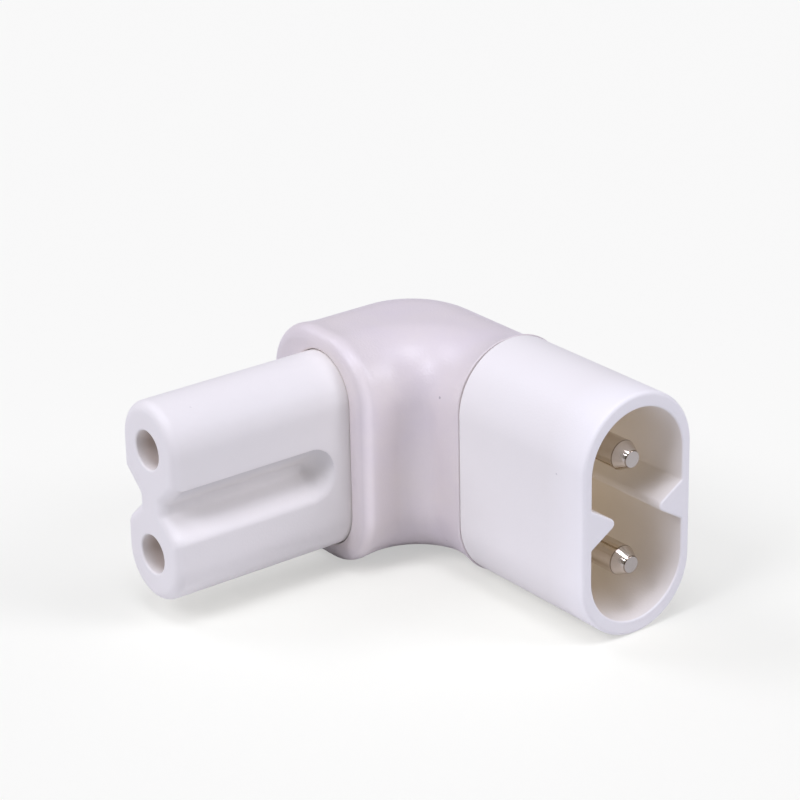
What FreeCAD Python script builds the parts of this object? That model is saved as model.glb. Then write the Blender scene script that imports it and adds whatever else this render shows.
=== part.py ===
import FreeCAD, Part
import math
import os
import Sketcher

# Right-angle mains adapter: a figure-eight socket on one arm and a figure-eight pin inlet on the other.
# The two arms cross at the working origin. The inlet arm runs along +X, the socket arm along -Y, and the long
# way of both sections is Z. Every piece is then carried to the part's own frame, whose origin is under the
# middle of the part, on the surface it stands on.

os.makedirs("parts", exist_ok=True)
doc = FreeCAD.newDocument("figure_eight_adapter")
sheet = doc.addObject("Spreadsheet::Sheet", "sizes")
origin = (-1, 1)
closeEnough = 1e-4
upZ = FreeCAD.Vector(0, 0, 1)


class Size:
    """A length worked out from the sheet's cells: its number now, and the expression that follows the cells."""

    def __init__(self, number, text):
        self.number = number
        self.text = text

    def __add__(self, other):
        other = asSize(other)
        return Size(self.number + other.number, "(%s + %s)" % (self.text, other.text))

    def __sub__(self, other):
        other = asSize(other)
        return Size(self.number - other.number, "(%s - %s)" % (self.text, other.text))

    def __mul__(self, factor):
        return Size(self.number * factor, "(%s * %r)" % (self.text, factor))

    def __truediv__(self, divisor):
        return Size(self.number / divisor, "(%s / %r)" % (self.text, divisor))

    def __neg__(self):
        return Size(-self.number, "(0 - %s)" % self.text)


def asSize(value):
    if isinstance(value, Size):
        return value
    return Size(float(value), repr(float(value)))


nothing = asSize(0)


def cell(alias, number, note):
    """Writes one driving dimension into the next row of the sheet."""
    cell.row += 1
    sheet.set("A%d" % cell.row, note)
    sheet.set("B%d" % cell.row, str(number))
    sheet.setAlias("B%d" % cell.row, alias)
    return Size(number, "sizes." + alias)


cell.row = 0

# Both ends
poleSpacing = cell("poleSpacing", 8.6, "distance between the axes of the two poles")
fullHeight = cell("fullHeight", 19.5, "height of the shroud and of the collar, on which the part stands")
slip = cell("slip", 0.05, "clearance round a piece that is slid into its seat")

# Elbow overmould
elbowWidth = cell("elbowWidth", 10.6, "width of the elbow across the inlet arm")
collarOut = cell("collarOut", 6.9, "from the axis of the socket arm to the outer side of the elbow")
collarIn = cell("collarIn", 5.6, "from the axis of the socket arm to the inner side of the elbow")
waistDip = cell("waistDip", 0.425, "how much lower the top of the elbow is between its two flares")
flareGap = cell("flareGap", 0.05, "from the end of the inner corner to the foot of a flare")
elbowRoll = cell("elbowRoll", 5.0, "radius rolled on the top and bottom edges of the elbow")
outerCorner = cell("outerCorner", 8.0, "radius of the elbow's outer corner, seen from above")
innerCorner = cell("innerCorner", 2.35, "radius of the elbow's inner corner, seen from above")
collarReach = cell("collarReach", 10.6, "from the crossing of the arms to the collar's face")
collarRound = cell("collarRound", 1.3, "radius on the edge of the collar's face")

# Inlet housing
rimReach = cell("rimReach", 25.0, "from the crossing of the arms to the rim of the shroud")
seamReach = cell("seamReach", 10.4, "from the crossing of the arms to the seam of shroud and elbow")
shroudWidth = cell("shroudWidth", 10.5, "outer width of the shroud")
rimBevel = cell("rimBevel", 0.2, "bevel on the outer edge of the rim")
sideWall = cell("sideWall", 0.82, "thickness of the shroud's flat walls")
endWall = cell("endWall", 1.18, "thickness of the shroud at the crown of its rounded ends")
mouthDepth = cell("mouthDepth", 12.4, "depth of the shroud from rim to floor")
ribRoot = cell("ribRoot", 3.2, "height of a keying rib at its root")
ribStand = cell("ribStand", 2.6, "how far a keying rib would stand out with a sharp crest")
ribCrest = cell("ribCrest", 0.45, "radius of a keying rib's crest")
lipSideWall = cell("lipSideWall", 1.2, "wall of the elbow beside the lip that anchors the inlet")
lipEndWall = cell("lipEndWall", 1.35, "wall of the elbow above and below that lip")
lipThick = cell("lipThick", 1.4, "thickness of that lip")
lipStand = cell("lipStand", 0.7, "how far that lip stands out from its neck")
neckLength = cell("neckLength", 2.0, "length of the neck between the shroud and that lip")

# Inlet pins
pinDia = cell("pinDia", 2.36, "diameter of a pin")
pinRecess = cell("pinRecess", 0.64, "how far the pin tips stay behind the rim")
pinTipDia = cell("pinTipDia", 1.3, "diameter of the flat end of a pin")
pinTipLength = cell("pinTipLength", 1.05, "length of the cone at the end of a pin")
pinConeRound = cell("pinConeRound", 0.5, "radius where the cone meets the pin")
pinRootDia = cell("pinRootDia", 3.0, "diameter of the pin inside the shroud's floor")
pinShoulderDia = cell("pinShoulderDia", 3.6, "diameter of the shoulder that holds the pin in the housing")
pinShoulderThick = cell("pinShoulderThick", 1.0, "thickness of the shoulder")
pinShoulderDepth = cell("pinShoulderDepth", 2.4, "from the shroud's floor back to the front of the shoulder")
pinTailDia = cell("pinTailDia", 1.9, "diameter of the pin behind its shoulder")
pinTailOut = cell("pinTailOut", 2.4, "how far the tail stands out behind the housing")
tailSlot = cell("tailSlot", 2.0, "depth of the slot in the tail, which holds the end of the link")

# Socket housing
faceReach = cell("faceReach", 26.65, "from the crossing of the arms to the face of the socket")
socketWidth = cell("socketWidth", 7.1, "width of the socket")
socketHeight = cell("socketHeight", 16.14, "height of the socket")
faceRound = cell("faceRound", 0.8, "radius on the edge of the socket's face")
grooveDepth = cell("grooveDepth", 1.9, "depth of the keying groove in each side")
grooveMouth = cell("grooveMouth", 4.26, "height of a keying groove at its mouth")
grooveFloor = cell("grooveFloor", 0.8, "height of a keying groove at its flat bottom")
grooveStop = cell("grooveStop", 1.45, "from the collar's face to the blind end of a groove")
entryDia = cell("entryDia", 3.1, "diameter of a pin entry")
entryDepth = cell("entryDepth", 3.5, "depth of a pin entry, up to the contact")
entryBevel = cell("entryBevel", 0.15, "bevel on the mouth of a pin entry")
chamberDia = cell("chamberDia", 3.8, "diameter of the chamber that holds a contact")
socketNeck = cell("socketNeck", 1.2, "length of the socket between the collar's face and its flange")
flangeStand = cell("flangeStand", 0.5, "how far the flange that anchors the socket stands out from it")
flangeThick = cell("flangeThick", 1.6, "thickness of that flange")

# Contact retainer
plateWidth = cell("plateWidth", 4.8, "width of the retainer plate")
plateThick = cell("plateThick", 1.2, "thickness of the retainer plate")
spigotLength = cell("spigotLength", 4.4, "length of the two spigots that back the contacts")

# Socket contacts
sheetThick = cell("sheetThick", 0.3, "thickness of the contact metal")
throatDia = cell("throatDia", 2.3, "inner diameter of the sprung throat")
mouthFlare = cell("mouthFlare", 1.2, "length of the flared mouth of a contact")
bandLength = cell("bandLength", 2.0, "length of the wide band at the back of the sleeve")
bandSlope = cell("bandSlope", 1.0, "length of the slope from the throat to the band")
sleeveSlit = cell("sleeveSlit", 0.5, "width of the slit along the sleeve")
footLength = cell("footLength", 3.0, "length of the foot that carries the link")

# Links
linkWidth = cell("linkWidth", 1.6, "width of a link and of the foot under it")
linkThick = cell("linkThick", 0.5, "thickness of a link")
linkCorner = cell("linkCorner", 0.6, "radius on the corners of a link")

doc.recompute()

# Places that several pieces share, measured from the crossing of the arms
waistHeight = fullHeight - waistDip * 2
seamFlare = seamReach - collarIn - innerCorner - flareGap
collarFlare = collarReach - elbowWidth / 2 - innerCorner - flareGap
mouthFloor = rimReach - mouthDepth
mouthWidth = shroudWidth - sideWall * 2
mouthHeight = fullHeight - endWall * 2
lipWidth = elbowWidth - lipSideWall * 2
lipHeight = fullHeight - lipEndWall * 2
neckWidth = lipWidth - lipStand * 2
neckHeight = lipHeight - lipStand * 2
inletBack = seamReach - neckLength - lipThick
pinBack = inletBack - pinTailOut
flangeWidth = socketWidth + flangeStand * 2
flangeHeight = socketHeight + flangeStand * 2
flangeBack = collarReach - socketNeck - flangeThick
recessFloor = flangeBack + plateThick
plateHeight = poleSpacing + plateWidth
contactFront = faceReach - entryDepth
contactBack = recessFloor + spigotLength
sleeveOuterDia = chamberDia - slip * 2
throatOuter = throatDia / 2 + sheetThick
footFront = contactBack + sheetThick
linkEnd = pinBack + tailSlot

# The part's origin is under the middle of its box
frameX = -((rimReach - collarOut) / 2)
frameY = (faceReach - elbowWidth / 2) / 2
frameZ = fullHeight / 2
poles = (("upper", 1), ("lower", -1))


def bind(item, path, value):
    """Ties a property to the sheet."""
    item.setExpression(path, asSize(value).text)


def newBody(label):
    body = doc.addObject("PartDesign::Body", label)
    body.Label = label
    return body


def carry(item, pole=0):
    """Moves a finished piece from the working origin to the part's own frame, and to its pole."""
    bind(item, "Placement.Base.x", frameX)
    bind(item, "Placement.Base.y", frameY)
    bind(item, "Placement.Base.z", frameZ + poleSpacing / 2 * pole)


def plane(body, role):
    for feature in body.Origin.OriginFeatures:
        if feature.Role == role:
            return feature
    raise RuntimeError("no plane " + role)


def newSketch(body, name, role, offset=nothing):
    """A sketch on an origin plane, moved along the plane's normal."""
    sketch = body.newObject("Sketcher::SketchObject", name)
    sketch.AttachmentSupport = [(plane(body, role), "")]
    sketch.MapMode = "FlatFace"
    bind(sketch, "AttachmentOffset.Base.z", offset)
    return sketch


def hold(sketch, kind, *where, value):
    """Adds a driving constraint whose value follows the sheet."""
    value = asSize(value)
    index = sketch.addConstraint(Sketcher.Constraint(kind, *where, value.number))
    sketch.setExpression("Constraints[%d]" % index, value.text)


def place(sketch, geometry, point, x, y):
    """Places one point of a sketch by its two distances from the sketch's origin."""
    hold(sketch, "DistanceX", *origin, geometry, point, value=x)
    hold(sketch, "DistanceY", *origin, geometry, point, value=y)


def at(x, y):
    return FreeCAD.Vector(asSize(x).number, asSize(y).number, 0)


def polygon(sketch, corners):
    """A closed outline of straight lines with every corner placed from the sheet."""
    ends = corners[1:] + corners[:1]
    lines = [
        sketch.addGeometry(Part.LineSegment(at(*start), at(*end)), False) for start, end in zip(corners, ends)]
    for line, following, corner in zip(lines, lines[1:] + lines[:1], corners):
        sketch.addConstraint(Sketcher.Constraint("Coincident", line, 2, following, 1))
        place(sketch, line, 1, *corner)


def circle(sketch, diameter, x=nothing, y=nothing):
    number = asSize(diameter).number / 2
    index = sketch.addGeometry(Part.Circle(at(x, y), upZ, number), False)
    hold(sketch, "Radius", index, value=asSize(diameter) / 2)
    place(sketch, index, 3, x, y)


def slot(sketch, width, height):
    """A slot outline round the sketch's origin, long way up, with fully rounded ends."""
    radius = asSize(width) / 2
    reach = asSize(height) / 2 - radius
    top = sketch.addGeometry(Part.ArcOfCircle(Part.Circle(at(0, reach), upZ, radius.number), 0, math.pi), False)
    left = sketch.addGeometry(Part.LineSegment(at(-radius, reach), at(-radius, -reach)), False)
    lower = Part.Circle(at(0, -reach), upZ, radius.number)
    bottom = sketch.addGeometry(Part.ArcOfCircle(lower, math.pi, 2 * math.pi), False)
    right = sketch.addGeometry(Part.LineSegment(at(radius, -reach), at(radius, reach)), False)
    for first, second in ((top, left), (left, bottom), (bottom, right), (right, top)):
        sketch.addConstraint(Sketcher.Constraint("Tangent", first, 2, second, 1))
    sketch.addConstraint(Sketcher.Constraint("PointOnObject", top, 3, -2))
    sketch.addConstraint(Sketcher.Constraint("Symmetric", top, 3, bottom, 3, *origin))
    sketch.addConstraint(Sketcher.Constraint("Equal", top, bottom))
    hold(sketch, "Radius", top, value=radius)
    hold(sketch, "DistanceY", *origin, top, 3, value=reach)


def pad(body, name, sketch, length, backwards=False):
    feature = body.newObject("PartDesign::Pad", name)
    feature.Profile = sketch
    bind(feature, "Length", length)
    feature.Reversed = backwards
    doc.recompute()
    return feature


def pocket(body, name, sketch, length, backwards=False):
    feature = body.newObject("PartDesign::Pocket", name)
    feature.Profile = sketch
    bind(feature, "Length", length)
    feature.Reversed = backwards
    doc.recompute()
    return feature


def turn(body, kind, name, sketch, axis):
    """A full turn of a profile about one of its sketch's axes."""
    feature = body.newObject("PartDesign::" + kind, name)
    feature.Profile = sketch
    feature.ReferenceAxis = (sketch, [axis])
    feature.Angle = 360
    doc.recompute()
    return feature


def mirror(body, name, originals, role):
    feature = body.newObject("PartDesign::Mirrored", name)
    feature.Originals = originals
    feature.MirrorPlane = (plane(body, role), [""])
    body.Tip = feature
    doc.recompute()
    return feature


def edgesWhere(shape, test):
    """Names of the edges that pass a test near both ends and in the middle."""
    names = []
    shares = (0.02, 0.5, 0.98)
    for k, edge in enumerate(shape.Edges):
        first, last = edge.FirstParameter, edge.LastParameter
        samples = [edge.valueAt(first + (last - first) * share) for share in shares]
        if all(test(point) for point in samples):
            names.append("Edge%d" % (k + 1))
    return names


def roundOff(body, name, base, radius, test):
    """A fillet on the edges of a feature that pass a test."""
    edges = edgesWhere(base.Shape, test)
    if not edges:
        raise RuntimeError("no edge to round for " + name)
    feature = body.newObject("PartDesign::Fillet", name)
    feature.Base = (base, edges)
    bind(feature, "Radius", radius)
    doc.recompute()
    return feature


def bevel(body, name, base, size, test):
    """A chamfer on the edges of a feature that pass a test."""
    edges = edgesWhere(base.Shape, test)
    if not edges:
        raise RuntimeError("no edge to bevel for " + name)
    feature = body.newObject("PartDesign::Chamfer", name)
    feature.Base = (base, edges)
    bind(feature, "Size", size)
    doc.recompute()
    return feature


def near(number, value):
    return abs(number - asSize(value).number) < closeEnough


def elbowBody():
    """The L in plan, padded to the height of the waist and flared towards both ends.

    Its long edges are then rolled, the collar's edge is rounded, and the seats of the housings are sunk in it.
    """
    body = newBody("elbow_form")
    sketch = newSketch(body, "elbow_plan", "XY_Plane")
    half = elbowWidth / 2
    add = sketch.addGeometry
    outerCentre = (outerCorner - collarOut, half - outerCorner)
    innerCentre = (collarIn + innerCorner, -(half + innerCorner))
    quarter = (math.pi / 2, math.pi)
    outerCircle = Part.Circle(at(*outerCentre), upZ, outerCorner.number)
    innerCircle = Part.Circle(at(*innerCentre), upZ, innerCorner.number)
    back = add(Part.LineSegment(at(seamReach, half), at(outerCentre[0], half)), False)
    outer = add(Part.ArcOfCircle(outerCircle, *quarter), False)
    side = add(Part.LineSegment(at(-collarOut, outerCentre[1]), at(-collarOut, -collarReach)), False)
    collar = add(Part.LineSegment(at(-collarOut, -collarReach), at(collarIn, -collarReach)), False)
    inSide = add(Part.LineSegment(at(collarIn, -collarReach), at(collarIn, innerCentre[1])), False)
    inner = add(Part.ArcOfCircle(innerCircle, *quarter), False)
    front = add(Part.LineSegment(at(innerCentre[0], -half), at(seamReach, -half)), False)
    seam = add(Part.LineSegment(at(seamReach, -half), at(seamReach, half)), False)
    tangent = ((back, 2, outer, 1), (outer, 2, side, 1), (inSide, 2, inner, 2), (inner, 1, front, 1))
    for joint in tangent:
        sketch.addConstraint(Sketcher.Constraint("Tangent", *joint))
    for joint in ((side, 2, collar, 1), (collar, 2, inSide, 1), (front, 2, seam, 1), (seam, 2, back, 1)):
        sketch.addConstraint(Sketcher.Constraint("Coincident", *joint))
    for line in (back, front, collar):
        sketch.addConstraint(Sketcher.Constraint("Horizontal", line))
    for line in (side, inSide, seam):
        sketch.addConstraint(Sketcher.Constraint("Vertical", line))
    place(sketch, seam, 2, seamReach, half)
    place(sketch, side, 2, -collarOut, -collarReach)
    hold(sketch, "DistanceX", *origin, inSide, 1, value=collarIn)
    hold(sketch, "DistanceY", *origin, front, 2, value=-half)
    hold(sketch, "Radius", outer, value=outerCorner)
    hold(sketch, "Radius", inner, value=innerCorner)
    block = body.newObject("PartDesign::Pad", "elbow_block")
    block.Profile = sketch
    block.Midplane = True
    bind(block, "Length", waistHeight)
    doc.recompute()

    # Towards each end the top and the bottom flare out in an arc
    seamRamp = newSketch(body, "seam_flare_profile", "XZ_Plane", -half)
    flareProfile(seamRamp, seamReach - seamFlare, seamReach, seamFlare, 1)
    seamPad = pad(body, "seam_flare", seamRamp, elbowWidth)
    collarRamp = newSketch(body, "collar_flare_profile", "YZ_Plane", -collarOut)
    flareProfile(collarRamp, collarFlare - collarReach, -collarReach, collarFlare, -1)
    collarPad = pad(body, "collar_flare", collarRamp, collarOut + collarIn)
    flared = mirror(body, "flares_below", [seamPad, collarPad], "XY_Plane")
    lowest = waistHeight.number / 2 - closeEnough

    def longEdge(point):
        if abs(point.z) < lowest or near(point.x, seamReach) or near(point.y, -collarReach):
            return False
        if near(point.x, -collarOut) or near(point.x, collarIn) or near(abs(point.y), half):
            return True
        outerGap = math.hypot(point.x - outerCentre[0].number, point.y - outerCentre[1].number)
        innerGap = math.hypot(point.x - innerCentre[0].number, point.y - innerCentre[1].number)
        return near(outerGap, outerCorner) or near(innerGap, innerCorner)

    rolled = roundOff(body, "rolled_edges", flared, elbowRoll, longEdge)
    roundOff(body, "collar_edge", rolled, collarRound, lambda point: near(point.y, -collarReach))

    # The seats of the two housings, shaped as the housings are
    nose = newSketch(body, "nose_seat_outline", "XZ_Plane", collarReach)
    slot(nose, socketWidth, socketHeight)
    pocket(body, "nose_seat", nose, socketNeck + flangeThick)
    flange = newSketch(body, "flange_seat_outline", "XZ_Plane", flangeBack)
    slot(flange, flangeWidth, flangeHeight)
    pocket(body, "flange_seat", flange, flangeThick, backwards=True)
    neck = newSketch(body, "neck_seat_outline", "YZ_Plane", seamReach)
    slot(neck, neckWidth, neckHeight)
    pocket(body, "neck_seat", neck, neckLength)
    lip = newSketch(body, "lip_seat_outline", "YZ_Plane", inletBack)
    slot(lip, lipWidth, lipHeight)
    pocket(body, "lip_seat", lip, lipThick, backwards=True)
    carry(body)
    return body


def flareProfile(sketch, foot, tip, length, way):
    """A ramp on the flat top: its arc leaves the top at the foot and ends at full height at the tip.

    The way is 1 when the tip lies beyond the foot, and -1 when it lies before it.
    """
    low = waistHeight / 2
    rise = (fullHeight - waistHeight) / 2
    buried = low - rise
    radius = (length.number ** 2 + rise.number ** 2) / (2 * rise.number)
    sweep = 2 * math.atan2(rise.number, length.number)
    ring = Part.Circle(at(foot, low + radius), upZ, radius)
    down = -math.pi / 2
    angles = sorted((down, down + sweep * way))
    footEnd, tipEnd = (1, 2)[::way]
    add = sketch.addGeometry
    arc = add(Part.ArcOfCircle(ring, *angles), False)
    end = add(Part.LineSegment(at(tip, low + rise), at(tip, buried)), False)
    base = add(Part.LineSegment(at(tip, buried), at(foot, buried)), False)
    start = add(Part.LineSegment(at(foot, buried), at(foot, low)), False)
    for joint in ((arc, tipEnd, end, 1), (end, 2, base, 1), (base, 2, start, 1), (start, 2, arc, footEnd)):
        sketch.addConstraint(Sketcher.Constraint("Coincident", *joint))
    sketch.addConstraint(Sketcher.Constraint("Vertical", arc, 3, arc, footEnd))
    place(sketch, arc, footEnd, foot, low)
    place(sketch, arc, tipEnd, tip, low + rise)
    place(sketch, base, 1, tip, buried)
    place(sketch, base, 2, foot, buried)


def inletBody():
    """The shroud with its floor and keying ribs, and the neck and lip that anchor it in the elbow."""
    body = newBody("inlet_form")
    outline = newSketch(body, "shroud_outline", "YZ_Plane", seamReach)
    slot(outline, shroudWidth, fullHeight)
    shroud = pad(body, "shroud", outline, rimReach - seamReach)
    bevel(body, "rim_edge", shroud, rimBevel, lambda point: near(point.x, rimReach))
    neck = newSketch(body, "neck_outline", "YZ_Plane", seamReach)
    slot(neck, neckWidth, neckHeight)
    pad(body, "neck", neck, neckLength, backwards=True)
    lip = newSketch(body, "lip_outline", "YZ_Plane", seamReach - neckLength)
    slot(lip, lipWidth, lipHeight)
    pad(body, "lip", lip, lipThick, backwards=True)
    mouth = newSketch(body, "mouth_outline", "YZ_Plane", rimReach)
    slot(mouth, mouthWidth, mouthHeight)
    pocket(body, "mouth", mouth, mouthDepth)
    profile = newSketch(body, "rib_profile", "YZ_Plane", rimReach)
    wall = mouthWidth / 2
    buried = (shroudWidth - mouthWidth) / 4
    crest = wall - ribStand
    root = ribRoot / 2
    polygon(profile, [(wall + buried, root), (wall, root), (crest, nothing), (wall, -root), (wall + buried, -root)])
    rib = pad(body, "rib", profile, mouthDepth, backwards=True)
    crestEdge = roundOff(
        body, "rib_crest", rib, ribCrest, lambda point: near(point.z, 0) and near(point.y, crest))
    mirror(body, "second_rib", [rib, crestEdge], "XZ_Plane")
    carry(body)
    return body


def inletPin(pole, side):
    """A turned pin: cone tip, shoulder inside the housing, and a tail with a slot for the link."""
    body = newBody("inlet_pin_" + pole)
    tip = rimReach - pinRecess
    shoulderFront = mouthFloor - pinShoulderDepth
    shoulderBack = shoulderFront - pinShoulderThick
    profile = newSketch(body, "pin_profile_" + pole, "XY_Plane")
    polygon(profile, [
        (pinBack, nothing),
        (pinBack, pinTailDia / 2),
        (shoulderBack, pinTailDia / 2),
        (shoulderBack, pinShoulderDia / 2),
        (shoulderFront, pinShoulderDia / 2),
        (shoulderFront, pinRootDia / 2),
        (mouthFloor, pinRootDia / 2),
        (mouthFloor, pinDia / 2),
        (tip - pinTipLength, pinDia / 2),
        (tip, pinTipDia / 2),
        (tip, nothing)])
    turned = turn(body, "Revolution", "pin_turned_" + pole, profile, "H_Axis")
    roundOff(
        body, "pin_cone_round_" + pole, turned, pinConeRound, lambda point: near(point.x, tip - pinTipLength))
    slit = newSketch(body, "tail_slot_outline_" + pole, "XZ_Plane", -(pinTailDia / 2))
    low = -(linkThick / 2)
    polygon(slit, [(pinBack, low), (linkEnd, low), (linkEnd, -low), (pinBack, -low)])
    pocket(body, "tail_slot_" + pole, slit, pinTailDia, backwards=True)
    carry(body, side)
    return body


def socketBody():
    """The figure-eight socket with its grooves, entries and contact chambers, and its flange in the elbow."""
    body = newBody("socket_housing")
    outline = newSketch(body, "socket_outline", "XZ_Plane", faceReach)
    slot(outline, socketWidth, socketHeight)
    pad(body, "nose", outline, faceReach - flangeBack, backwards=True)
    flange = newSketch(body, "flange_outline", "XZ_Plane", flangeBack)
    slot(flange, flangeWidth, flangeHeight)
    pad(body, "flange", flange, flangeThick)

    # A groove is a tapered channel with a flat bottom. It ends as half of that channel turned about its depth.
    side = socketWidth / 2
    root = side - grooveDepth
    outside = side + grooveDepth
    floorHalf = grooveFloor / 2
    spread = grooveMouth - floorHalf
    stop = collarReach + grooveStop + grooveMouth / 2
    profile = newSketch(body, "groove_profile", "XZ_Plane", faceReach)
    polygon(profile, [(root, -floorHalf), (outside, -spread), (outside, spread), (root, floorHalf)])
    run = pocket(body, "groove", profile, faceReach - stop)
    half = newSketch(body, "groove_end_profile", "XY_Plane")
    polygon(half, [(root, -stop), (root, floorHalf - stop), (outside, spread - stop), (outside, -stop)])
    axis = half.addGeometry(Part.LineSegment(at(0, -stop), at(outside, -stop)), True)
    place(half, axis, 1, nothing, -stop)
    place(half, axis, 2, outside, -stop)
    end = body.newObject("PartDesign::Groove", "groove_end")
    end.Profile = half
    end.ReferenceAxis = (half, ["Axis0"])
    end.Angle = 360
    doc.recompute()
    grooved = mirror(body, "second_groove", [run, end], "YZ_Plane")
    roundOff(body, "face_edge", grooved, faceRound, lambda point: near(point.y, -faceReach))

    entries = newSketch(body, "entry_circles", "XZ_Plane", faceReach)
    chambers = newSketch(body, "chamber_circles", "XZ_Plane", flangeBack)
    for pole, sign in poles:
        circle(entries, entryDia, nothing, poleSpacing / 2 * sign)
        circle(chambers, chamberDia, nothing, poleSpacing / 2 * sign)
    pocket(body, "entries", entries, entryDepth)
    bored = pocket(body, "chambers", chambers, contactFront - flangeBack, backwards=True)

    def entryMouth(point):
        fromAxis = math.hypot(point.x, abs(point.z) - poleSpacing.number / 2)
        return near(point.y, -faceReach) and near(fromAxis, entryDia / 2)

    bevel(body, "entry_edges", bored, entryBevel, entryMouth)
    recess = newSketch(body, "recess_outline", "XZ_Plane", flangeBack)
    slot(recess, plateWidth + slip * 2, plateHeight + slip * 2)
    pocket(body, "recess", recess, plateThick, backwards=True)
    carry(body)
    return body


def retainerBody():
    """The plate that closes the back of the socket, with a spigot behind each contact."""
    body = newBody("contact_retainer")
    outline = newSketch(body, "plate_outline", "XZ_Plane", flangeBack)
    slot(outline, plateWidth, plateHeight)
    pad(body, "plate", outline, plateThick)
    rings = newSketch(body, "spigot_circles", "XZ_Plane", recessFloor)
    windows = newSketch(body, "link_windows", "XZ_Plane", contactBack)
    halfWindow = linkWidth / 2 + slip
    linkSide = linkThick / 2 + slip
    footSide = -(linkSide + sheetThick)
    for pole, sign in poles:
        circle(rings, sleeveOuterDia, nothing, poleSpacing / 2 * sign)
        low = (poleSpacing / 2 + footSide) * sign
        high = (poleSpacing / 2 + linkSide) * sign
        polygon(windows, [(-halfWindow, low), (halfWindow, low), (halfWindow, high), (-halfWindow, high)])
    pad(body, "spigots", rings, spigotLength)
    pocket(body, "link_way", windows, spigotLength + plateThick)
    carry(body)
    return body


def contactBody(pole, sign):
    """A rolled sleeve with a flared mouth and a sprung throat, and a foot on a bent-in tab."""
    body = newBody("socket_contact_" + pole)
    outer = sleeveOuterDia / 2
    inner = outer - sheetThick
    throatFront = contactFront - mouthFlare
    bandFront = contactBack + bandLength
    throatBack = bandFront + bandSlope
    profile = newSketch(body, "sleeve_profile_" + pole, "XY_Plane")
    polygon(profile, [
        (inner, -contactFront),
        (outer, -contactFront),
        (throatOuter, -throatFront),
        (throatOuter, -throatBack),
        (outer, -bandFront),
        (outer, -contactBack),
        (inner, -contactBack),
        (inner, -bandFront),
        (throatDia / 2, -throatBack),
        (throatDia / 2, -throatFront)])
    turn(body, "Revolution", "sleeve_" + pole, profile, "V_Axis")
    side = linkWidth / 2
    rolled = -(inner + sheetThick / 2)
    under = -(linkThick / 2)
    tab = newSketch(body, "tab_outline_" + pole, "XZ_Plane", contactBack)
    polygon(tab, [(-side, rolled), (side, rolled), (side, under), (-side, under)])
    pad(body, "tab_" + pole, tab, sheetThick)
    foot = newSketch(body, "foot_outline_" + pole, "XZ_Plane", footFront)
    low = under - sheetThick
    polygon(foot, [(-side, low), (side, low), (side, under), (-side, under)])
    pad(body, "foot_" + pole, foot, footLength, backwards=True)
    slit = newSketch(body, "slit_outline_" + pole, "XZ_Plane", contactFront)
    half = sleeveSlit / 2
    top = outer + sheetThick
    polygon(slit, [(-half, nothing), (half, nothing), (half, top), (-half, top)])
    pocket(body, "sleeve_slit_" + pole, slit, contactFront - contactBack)
    carry(body, sign)
    if sign < 0:
        body.Placement.Rotation = FreeCAD.Rotation(FreeCAD.Vector(0, 1, 0), 180)
    return body


def linkBody(pole, sign):
    """A stamped L that lies on the foot of the contact and ends in the slot of the pin."""
    body = newBody("link_strip_" + pole)
    side = linkWidth / 2
    outline = newSketch(body, "link_outline_" + pole, "XY_Plane", -(linkThick / 2))
    polygon(outline, [
        (-side, -footFront),
        (side, -footFront),
        (side, -side),
        (linkEnd, -side),
        (linkEnd, side),
        (-side, side)])
    strip = pad(body, "link_" + pole, outline, linkThick)
    roundOff(
        body, "link_corners_" + pole, strip, linkCorner,
        lambda point: near(abs(point.x), side) and near(abs(point.y), side))
    carry(body, sign)
    return body


def cutFrom(label, base, tools):
    """A piece moulded round others: their shapes are left out of it."""
    fused = doc.addObject("Part::MultiFuse", label + "_inserts")
    fused.Shapes = tools
    result = doc.addObject("Part::Cut", label)
    result.Label = label
    result.Base = base
    result.Tool = fused
    doc.recompute()
    return result


pins = [inletPin(pole, sign) for pole, sign in poles]
contacts = [contactBody(pole, sign) for pole, sign in poles]
links = [linkBody(pole, sign) for pole, sign in poles]
socket = socketBody()
retainer = retainerBody()
inlet = cutFrom("inlet_housing", inletBody(), pins)
elbow = cutFrom("elbow_overmould", elbowBody(), pins + links)
pieces = [elbow, socket, retainer, inlet] + pins + contacts + links

doc.recompute()
for item in doc.Objects:
    if "Invalid" in item.State or "Error" in item.State:
        raise RuntimeError("%s has failed: %s" % (item.Label, item.State))
    if item.isDerivedFrom("PartDesign::FeatureSubtractive"):
        if item.Shape.Volume > item.BaseFeature.Shape.Volume - 1e-6:
            raise RuntimeError(item.Label + " cuts nothing")
for piece in pieces:
    shape = piece.Shape
    if shape.isNull() or not shape.isValid() or len(shape.Solids) != 1:
        raise RuntimeError("%s is not one valid solid" % piece.Label)
for piece in pieces:
    piece.Shape.exportStep("parts/" + piece.Label + ".step")
    print("%-24s %9.2f mm3" % (piece.Label, piece.Shape.Volume))
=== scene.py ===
import math

import bmesh
import bpy
import numpy as np
from mathutils import Matrix, Vector
from mathutils.geometry import delaunay_2d_cdt


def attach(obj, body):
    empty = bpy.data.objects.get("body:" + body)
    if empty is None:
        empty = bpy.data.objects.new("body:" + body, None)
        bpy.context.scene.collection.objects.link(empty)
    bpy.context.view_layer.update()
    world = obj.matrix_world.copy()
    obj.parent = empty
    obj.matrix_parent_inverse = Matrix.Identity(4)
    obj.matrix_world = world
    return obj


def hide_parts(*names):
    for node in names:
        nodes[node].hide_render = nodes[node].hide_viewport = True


# Right-angle adapter: a figure-eight socket on one arm and a figure-eight pin inlet on the other.
# Meshes are made in millimetres. The arms cross at the origin, the inlet along +X and the socket along -Y.

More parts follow.
